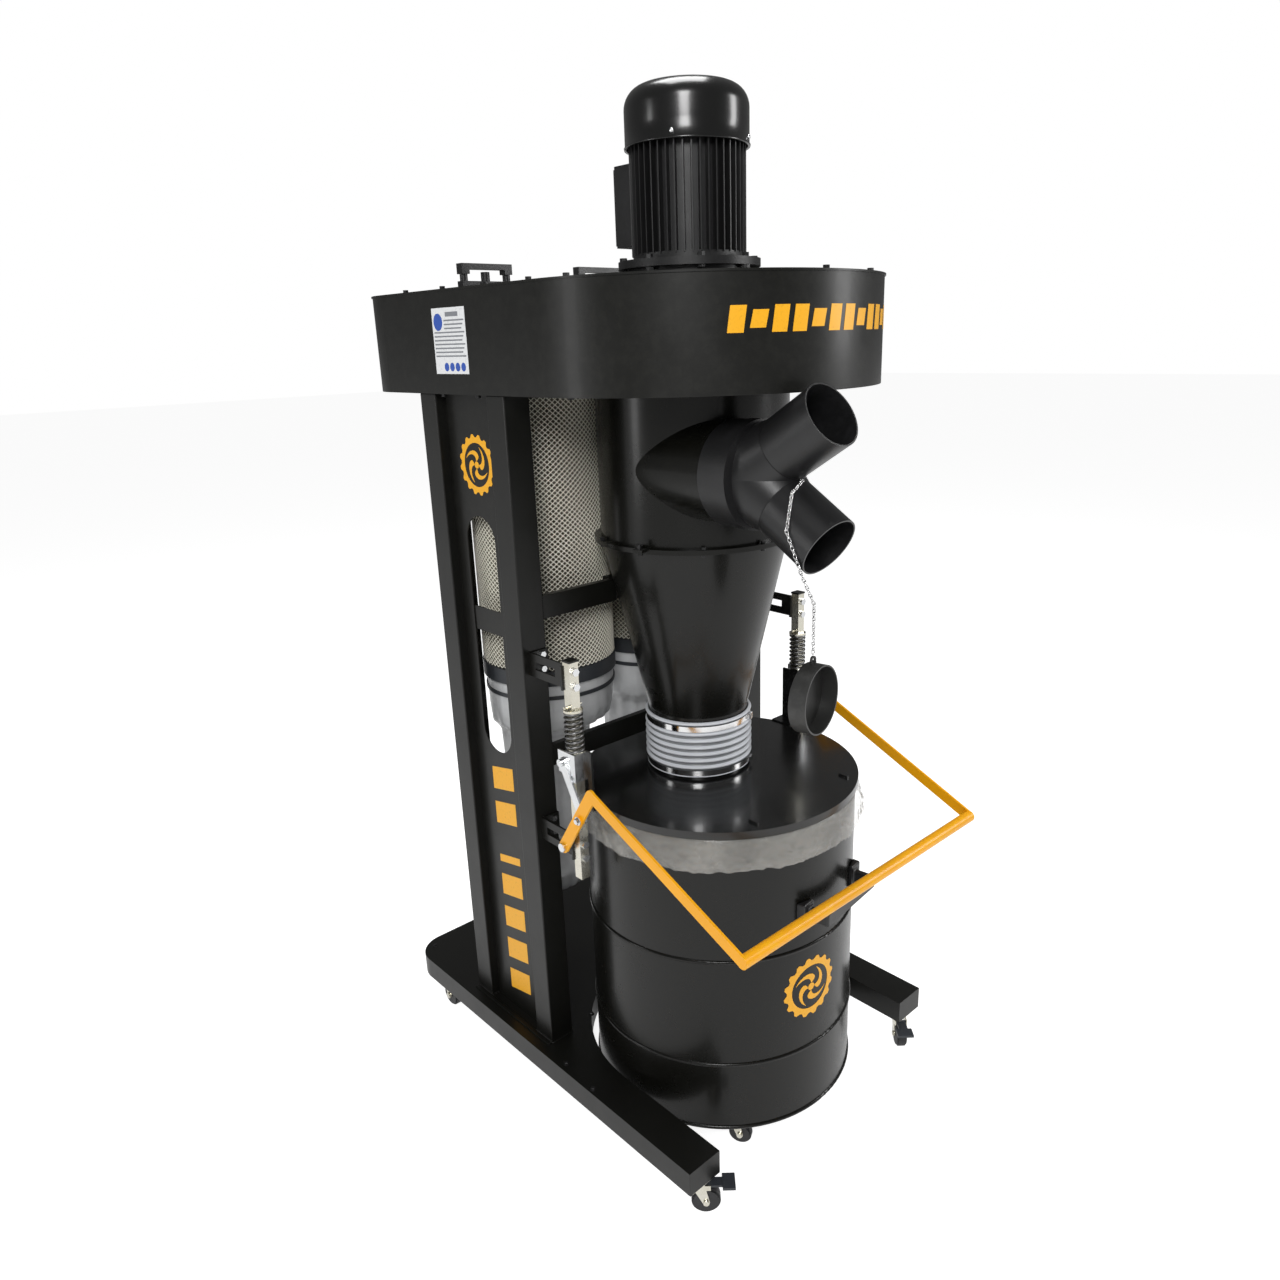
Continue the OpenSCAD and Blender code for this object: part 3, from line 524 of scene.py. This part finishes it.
def bag(side):
    rows, cols = 90, 144
    clamped, slack_height = 0.786, 0.10         # the film is taut above clamped, and slack 0.1 m below it
    fold_depth, crumple_depth = 0.045, 0.030    # as shares of the radius
    verts, faces = [], []
    for i in range(rows + 1):
        z = BAG_STAGES[0][0] + (BAG_STAGES[-1][0] - BAG_STAGES[0][0]) * i / rows
        for a, b in zip(BAG_STAGES, BAG_STAGES[1:]):
            if b[0] <= z <= a[0] + 1e-9:
                f = (a[0] - z) / (a[0] - b[0])
                y, r = a[1] + (b[1] - a[1]) * f, a[2] + (b[2] - a[2]) * f
                break
        slack = min(1.0, max(0.0, (clamped - z) / slack_height))
        for k in range(cols):
            t = 2 * math.pi * k / cols
            fold = 0.5 + 0.5 * math.sin(17 * t + 5 * noise.noise(Vector((z * 5, side, t))))
            crumple = noise.noise(Vector((math.cos(t) * 4, math.sin(t) * 4, z * 16 + side * 9)))
            rr = r * (1 - slack * (fold_depth * fold + crumple_depth * (0.5 + 0.5 * crumple)))
            verts.append((side * FLT[0] + rr * math.cos(t), y + rr * math.sin(t), z))
    for i in range(rows):
        for k in range(cols):
            q = (k + 1) % cols
            faces.append((i * cols + k, i * cols + q, (i + 1) * cols + q, (i + 1) * cols + k))
    centre = len(verts)
    verts.append((side * FLT[0], BAG_STAGES[-1][1], BAG_STAGES[-1][0] + 0.0005))
    for k in range(cols):
        faces.append((rows * cols + k, rows * cols + (k + 1) % cols, centre))
    return verts, faces


for side, name in ((-1, "left_dust_bag"), (1, "right_dust_bag")):
    tube = fit(obj_from(name, *bag(side), MAT["bag_film"]), "frame", "dust_bags")
    film_thickness(tube, 0.0004, -1)

# ---- drum liner: clear film turned over the rim, creased skirt outside ----
# (radius, height) from inside the drum, over the rim at RIM_AT and down the skirt
LINER_PATH = [(0.2446, 0.300), (0.2446, 0.450), (0.2446, 0.560), (0.2446, 0.628), (0.2460, 0.6408),
              (0.2528, 0.6408), (0.2549, 0.6375)]
RIM_AT, SKIRT_STEPS = len(LINER_PATH) - 1, 15
LINER_PATH += [(0.2550 + 0.0002 * k, 0.6375 - 0.0033 * k) for k in range(1, SKIRT_STEPS + 1)]


def liner():
    cols = 420
    verts, faces = [], []
    for i in range(cols):
        t = 2 * math.pi * i / cols
        for k, (r, z) in enumerate(LINER_PATH):
            loose = max(0.0, (k - RIM_AT) / SKIRT_STEPS)
            gather = 0.5 + 0.5 * math.sin(
                46 * t + 7 * noise.noise(Vector((math.cos(t) * 3, math.sin(t) * 3, z * 20))))
            billow = 0.5 + 0.5 * noise.noise(Vector((math.cos(t) * 5, math.sin(t) * 5, 2.0)))
            crease = 1 - abs(noise.noise(Vector((t * 9 + z * 60, t * 9 - z * 40, 4.0)))) * 2.2
            bunched = max(0.0, math.cos(t + 0.15)) ** 3        # the film stands out most on the right
            rr = r + loose ** 0.6 * (0.0028 * gather + 0.0040 * billow + 0.0042 * max(0.0, crease))
            rr += loose * 0.010 * bunched * (0.4 + 0.6 * gather)
            drop = loose ** 2 * 0.004 * (0.5 + noise.noise(Vector((math.cos(t) * 4, math.sin(t) * 4, 9.0))))
            verts.append((rr * math.cos(t), DRUM_Y + rr * math.sin(t), z - drop))
    m = len(LINER_PATH)
    for i in range(cols):
        j = (i + 1) % cols
        for k in range(m - 1):
            faces.append((i * m + k, j * m + k, j * m + k + 1, i * m + k + 1))
    return verts, faces


skirt = fit(obj_from("drum_liner_film", *liner(), MAT["liner_film"]), "drum_unit", "drum_liner")
film_thickness(skirt, 0.00025, 0)

# ---- chain of oval links from the yoke to the blast cap ----
CHAIN = [(-0.082, -0.3965, 1.2195), (-0.084, -0.401, 1.217), (-0.118, -0.410, 1.204), (-0.136, -0.415, 1.152),
         (-0.128, -0.436, 1.092), (-0.113, -0.449, 1.045), (-0.113, -0.449, 0.969)]
LINK_PITCH = 0.0062


def along(points, step):
    """Points every step along the line, each with the line's direction there."""
    pts = [Vector(p) for p in points]
    out, carry = [], 0.0
    for a, b in zip(pts, pts[1:]):
        length = (b - a).length
        d = (b - a) / length
        s = carry
        while s < length:
            out.append((a + d * s, d))
            s += step
        carry = s - length
    return out


def link(c, d, turn):
    """Oval link about c, long along d; every other one is turned a quarter."""
    half, width, wire, steps = 0.0044, 0.0024, 0.00085, 14
    side = d.cross(Vector((0.3, 1, 0.2))).normalized()
    if turn:
        side = d.cross(side).normalized()
    pts = []
    for k in range(steps):
        t = 2 * math.pi * k / steps
        pts.append(c + d * half * math.cos(t) + side * width * math.sin(t))
    return sweep(pts, wire, 6, closed=True, up=d.cross(side))


links = [link(c, d, i % 2) for i, (c, d) in enumerate(along(CHAIN, LINK_PITCH))]
fit(obj_from("chain_links", *merged(links), MAT["stainless"]), "frame", "port_chain")


# ---- bolts, screws and weld beads on the frame and the handle ----
def hex_bolt(centre, out, r, h, turn=0.2):
    """Chamfered hexagon head with a washer under it, standing on centre and pointing along out."""
    c, d = Vector(centre), Vector(out).normalized()
    u = Vector((0, 0, 1)) if abs(d.z) < 0.9 else Vector((1, 0, 0))
    u = (u - d * u.dot(d)).normalized()
    w = d.cross(u)
    parts = []

    def ring(radius, height, n, phase):
        return [c + d * height + radius * (u * math.cos(2 * math.pi * k / n + phase)
                                           + w * math.sin(2 * math.pi * k / n + phase)) for k in range(n)]
    for n, levels in ((24, [(r * 1.35, 0.0), (r * 1.35, h * 0.16), (r * 1.25, h * 0.2)]),
                      (6, [(r, h * 0.2), (r, h * 0.86), (r * 0.86, h)])):
        verts, faces = [], []
        for radius, height in levels:
            verts += ring(radius, height, n, turn)
        for i in range(len(levels) - 1):
            for k in range(n):
                faces.append((i * n + k, i * n + (k + 1) % n, (i + 1) * n + (k + 1) % n, (i + 1) * n + k))
        faces.append(tuple(range(n))[::-1])
        faces.append(tuple((len(levels) - 1) * n + k for k in range(n)))
        parts.append((verts, faces))
    return merged(parts)


arm_bolts = [hex_bolt((s * 0.3168, -0.120, 0.653), (s, 0, 0), 0.0056, 0.0052, 0.5) for s in (-1, 1)]
fit(obj_from("handle_bolts", *merged(arm_bolts), MAT["steel_bright"], smooth=False), "handle")

BASE_BOLTS_AT = ((-0.198, 0.033), (-0.327, -0.130), (-0.321, -0.044), (-0.150, 0.420), (-0.300, 0.470))
base_bolts = [hex_bolt((s * x, y, BASE_TOP - 0.0001), (0, 0, 1), 0.0042, 0.0040, 0.3 * s)
              for x, y in BASE_BOLTS_AT for s in (-1, 1)]
fit(obj_from("base_tray_bolts", *merged(base_bolts), MAT["cast_black"], smooth=False), "frame")


def bead(a, b, radius):
    """Weld bead from a to b, uneven along its length."""
    a, b = Vector(a), Vector(b)
    step, sides = 0.0016, 8
    n = max(6, int((b - a).length / step))
    verts, faces = [], []
    u = Vector((0, 0, 1))
    w = (b - a).normalized().cross(u)
    for i in range(n + 1):
        p = a + (b - a) * i / n
        r = radius * (0.85 + 0.2 * math.sin(i * 2.1) + 0.25 * rng.random())
        for k in range(sides):
            t = 2 * math.pi * k / sides
            verts.append(p + r * (u * math.cos(t) + w * math.sin(t)))
    for i in range(n):
        for k in range(sides):
            q = (k + 1) % sides
            faces.append((i * sides + k, i * sides + q, (i + 1) * sides + q, (i + 1) * sides + k))
    faces += [tuple(range(sides))[::-1], tuple(n * sides + k for k in range(sides))]
    return verts, faces


COLUMN_X, COLUMN_YS, COLUMN_DEPTH = (0.256, 0.306), (0.021, 0.228), 0.050
WELD_Z, OUTER_WELD_Z = BASE_TOP + 0.0002, BASE_TOP + 0.0034
welds = []
for s in (-1, 1):
    for y0 in COLUMN_YS:
        x0, x1, y1 = s * COLUMN_X[0], s * COLUMN_X[1], y0 + COLUMN_DEPTH
        welds += [bead((x0, y0, WELD_Z), (x1, y0, WELD_Z), 0.0022),
                  bead((x0, y1, WELD_Z), (x1, y1, WELD_Z), 0.0022),
                  bead((x0, y0, WELD_Z), (x0, y1, WELD_Z), 0.0022),
                  bead((x1, y0, OUTER_WELD_Z), (x1, y1, OUTER_WELD_Z), 0.0020)]
fit(obj_from("column_weld_beads", *merged(welds), MAT["black_steel"]), "frame")


def rounded(name, width):
    """Rounds the edges of a carried-over CAD piece with modifiers."""
    o = nodes[name]
    w = o.modifiers.new("weld", "WELD")
    w.merge_threshold = 0.00001
    b = o.modifiers.new("edges", "BEVEL")
    b.width = width
    b.segments = 3
    b.limit_method = "ANGLE"
    b.angle_limit = 0.6
    b.harden_normals = False
    n = o.modifiers.new("shade", "WEIGHTED_NORMAL")
    n.keep_sharp = True


rounded("junction_box", 0.005)
rounded("drum_handles", 0.0035)
rounded("columns", 0.0022)
rounded("base_frame", 0.0016)
rounded("cross_bars", 0.0012)


# ---- printed marks: thin vinyl shapes laid on the sheet metal ----
def circle(x, y, r, n):
    return [(x + r * math.cos(2 * math.pi * k / n), y + r * math.sin(2 * math.pi * k / n)) for k in range(n)]


def roundel(r):
    """Toothed ring and a four-bladed fan in its middle, as flat outlines: (points, hole points)."""
    teeth, root = 16, 0.90
    outer = []
    for k in range(teeth * 4):
        a = 2 * math.pi * k / (teeth * 4)
        rr = r if k % 4 in (1, 2) else r * root
        outer.append((rr * math.cos(a), rr * math.sin(a)))
    blades = []
    for b in range(4):
        pts = []
        for k in range(13):
            f = k / 12
            a = b * math.pi / 2 + 1.15 * math.sin(f * math.pi / 2) * f + 0.10
            pts.append((r * (0.14 + 0.48 * f), a))
        back = [(rr, a - 0.75 * math.sin(math.pi * (0.12 + 0.88 * i / 12)) - 0.06)
                for i, (rr, a) in enumerate(pts)]
        blades.append([(rr * math.cos(a), rr * math.sin(a)) for rr, a in pts + back[::-1]])
    hub = circle(0, 0, r * 0.12, 24)
    return [(outer, circle(0, 0, r * 0.72, 64))] + [(q, None) for q in blades + [hub]]


def filled(shapes, cut=0.004):
    """Triangulated flat sheet from outlines, cut fine enough to bend round a cylinder."""
    verts, faces = [], []
    for outer, inner in shapes:
        bm = bmesh.new()
        rings = [outer] + ([inner] if inner else [])
        edges = []
        for ring in rings:
            vs = [bm.verts.new((x, y, 0)) for x, y in ring]
            edges += [bm.edges.new((vs[i], vs[(i + 1) % len(vs)])) for i in range(len(vs))]
        bmesh.ops.triangle_fill(bm, use_beauty=True, edges=edges)
        for _ in range(6):
            long = [e for e in bm.edges if e.calc_length() > cut * 2]
            if not long:
                break
            bmesh.ops.subdivide_edges(bm, edges=long, cuts=1)
            bmesh.ops.triangulate(bm, faces=bm.faces[:])
        bm.verts.index_update()
        k = len(verts)
        verts += [v.co.copy() for v in bm.verts]
        faces += [tuple(v.index + k for v in f.verts) for f in bm.faces]
        bm.free()
    return verts, faces


def bar_shape(x0, y0, x1, y1):
    return [(x0, y0), (x1, y0), (x1, y1), (x0, y1)], None


def disc(x, y, r):
    return circle(x, y, r, 32), None


def on_left(vf, origin, lift):
    """Lays a flat sheet on a face that looks to the machine's left, lift outside it."""
    o, r, u, n = Vector(origin), Vector((0, -1, 0)), Vector((0, 0, 1)), Vector((-1, 0, 0))
    return [o + r * v[0] + u * v[1] + n * lift for v in vf[0]], vf[1]


def on_round(vf, axis_y, radius, heading, z):
    """Bends a flat sheet round a vertical cylinder; heading is its middle, in degrees from +X."""
    out = []
    for v in vf[0]:
        a = math.radians(heading) + v[0] / radius
        out.append(Vector((radius * math.cos(a), axis_y + radius * math.sin(a), z + v[1])))
    return out, vf[1]


def mark(name, vf, mat, body):
    o = fit(obj_from(name, *vf, mat, smooth=False), body)
    s = o.modifiers.new("vinyl", "SOLIDIFY")
    s.thickness = 0.00015
    s.offset = 0


PROUD, LABEL_PROUD = 0.0002, 0.0003
mark("drum_roundel", on_round(filled(roundel(0.060)), DRUM_Y, DRUM_R + LABEL_PROUD, -97, 0.318),
     MAT["orange_print"], "drum_unit")
mark("panel_roundel", on_left(filled(roundel(0.052)), (-PANEL_X, 0.142, 1.223), PROUD),
     MAT["orange_print"], "frame")

# plain slanted blocks up the side panel and round the housing
blocks, half, slant = [], 0.034, 0.014
for k in range(7):
    z0 = 0.155 + 0.073 * k + (0.012 if k > 4 else 0)
    tall = 0.030 if k == 4 else 0.060
    blocks.append(([(-half, z0), (half, z0 + slant), (half, z0 + tall), (-half, z0 + tall - slant)], None))
mark("panel_blocks", on_left(filled(blocks), (-PANEL_X, 0.144, 0), PROUD), MAT["orange_print"], "frame")
dashes, dash, lean, tall = [], 0.0235, 0.005, 0.036
for k in range(12):
    x0 = -0.190 + 0.0325 * k
    low = 0.006 if k % 3 == 1 else 0.0
    top = tall - low
    dashes.append(([(x0, low), (x0 + dash, low), (x0 + dash + lean, top), (x0 + lean, top)], None))
mark("housing_dashes", on_round(filled(dashes), BLOW_Y, HOUSE_R + LABEL_PROUD, -91, 1.424), MAT["orange_print"],
     "frame")

# label on the housing: white sheet, grey bars and blue dots
LABEL_AT, COARSE = (-HOUSE_R, 0.151, 1.426), 0.05
lines, pitch, thick_line = [bar_shape(-0.008, 0.038, 0.030, 0.045)], 0.0062, 0.0022
for k in range(10):
    y = 0.031 - pitch * k
    lines.append(bar_shape(-0.014 if k < 3 else -0.046, y, 0.046 - 0.004 * (k % 3), y + thick_line))
dots = [disc(-0.032, 0.030, 0.0135)] + [disc(-0.016 + 0.017 * k, -0.041, 0.0068) for k in range(4)]
for name, shapes, look, lift in (
        ("side_label", [bar_shape(-0.050, -0.052, 0.050, 0.052)], "white_print", LABEL_PROUD),
        ("label_lines", lines, "grey_print", 2 * LABEL_PROUD),
        ("label_dots", dots, "blue_print", 2 * LABEL_PROUD)):
    mark(name, on_left(filled(shapes, COARSE), LABEL_AT, lift), MAT[look], "frame")

# ---- floor, light and camera ----
floor_mesh = bpy.data.meshes.new("studio_floor")
FLOOR = 30
floor_mesh.from_pydata([(-FLOOR, -FLOOR, 0), (FLOOR, -FLOOR, 0), (FLOOR, FLOOR, 0), (-FLOOR, FLOOR, 0)], [],
                       [(0, 1, 2, 3)])
floor = bpy.data.objects.new("studio_floor", floor_mesh)
bpy.context.scene.collection.objects.link(floor)
fm, ft, fb = new_mat("pale_floor")
fb.inputs["Base Color"].default_value = (0.62, 0.62, 0.62, 1)
fb.inputs["Roughness"].default_value = 0.9
fb.inputs["Emission Color"].default_value = (1, 1, 1, 1)
# the floor and the world look white, and light the machine less than that
seen = ft.nodes.new("ShaderNodeLightPath")
glow = ft.nodes.new("ShaderNodeMapRange")
glow.inputs["To Min"].default_value = 0.50
glow.inputs["To Max"].default_value = 0.86
ft.links.new(seen.outputs["Is Camera Ray"], glow.inputs["Value"])
ft.links.new(glow.outputs["Result"], fb.inputs["Emission Strength"])
floor_mesh.materials.append(fm)

world = bpy.data.worlds.new("studio")
bpy.context.scene.world = world
world.use_nodes = True
wt = world.node_tree
bg = wt.nodes["Background"]
bg.inputs["Color"].default_value = (1.0, 1.0, 1.0, 1)
bg.inputs["Strength"].default_value = 0.15
bright = wt.nodes.new("ShaderNodeBackground")
bright.inputs["Color"].default_value = (1, 1, 1, 1)
bright.inputs["Strength"].default_value = 1.0
path = wt.nodes.new("ShaderNodeLightPath")
blend_bg = wt.nodes.new("ShaderNodeMixShader")
wt.links.new(path.outputs["Is Camera Ray"], blend_bg.inputs["Fac"])
wt.links.new(bg.outputs[0], blend_bg.inputs[1])
wt.links.new(bright.outputs[0], blend_bg.inputs[2])
wt.links.new(blend_bg.outputs[0], wt.nodes["World Output"].inputs["Surface"])
bpy.context.scene.view_settings.view_transform = "Standard"


def soft_light(name, where, aim, size, watts):
    d = bpy.data.lights.new(name, "AREA")
    d.shape = "RECTANGLE"
    d.size, d.size_y = size
    d.energy = watts
    o = bpy.data.objects.new(name, d)
    o.location = where
    o.rotation_euler = (Vector(aim) - Vector(where)).to_track_quat("-Z", "Y").to_euler()
    bpy.context.scene.collection.objects.link(o)


soft_light("key", (-2.4, -2.2, 3.0), (0, 0, 1.0), (1.0, 1.5), 80)
soft_light("fill", (2.6, -2.4, 2.2), (0, 0, 0.9), (0.8, 1.8), 45)
soft_light("top", (0.2, 0.3, 4.0), (0, 0, 1.0), (1.6, 1.6), 80)
soft_light("side", (-3.0, 1.2, 1.6), (0, 0.1, 0.9), (0.5, 1.8), 14)

AZ, PITCH, ROLL = math.radians(42.68), math.radians(17.44), math.radians(-1.75)
fwd = Vector((math.sin(AZ) * math.cos(PITCH), math.cos(AZ) * math.cos(PITCH), -math.sin(PITCH)))
right = Vector((math.cos(AZ), -math.sin(AZ), 0))
up = right.cross(fwd)
cam_x = right * math.cos(ROLL) + up * math.sin(ROLL)
cam_y = -right * math.sin(ROLL) + up * math.cos(ROLL)
cam_data = bpy.data.cameras.new("camera")
cam_data.sensor_width = 36.0
cam_data.lens = 27.294
cam_data.shift_x = -0.0181
cam_data.shift_y = 0.0031
cam = bpy.data.objects.new("camera", cam_data)
m = Matrix((cam_x, cam_y, -fwd)).transposed().to_4x4()
m.translation = (-1.19685, -1.29875, 1.41905)
cam.matrix_world = m
bpy.context.scene.collection.objects.link(cam)
bpy.context.scene.camera = cam
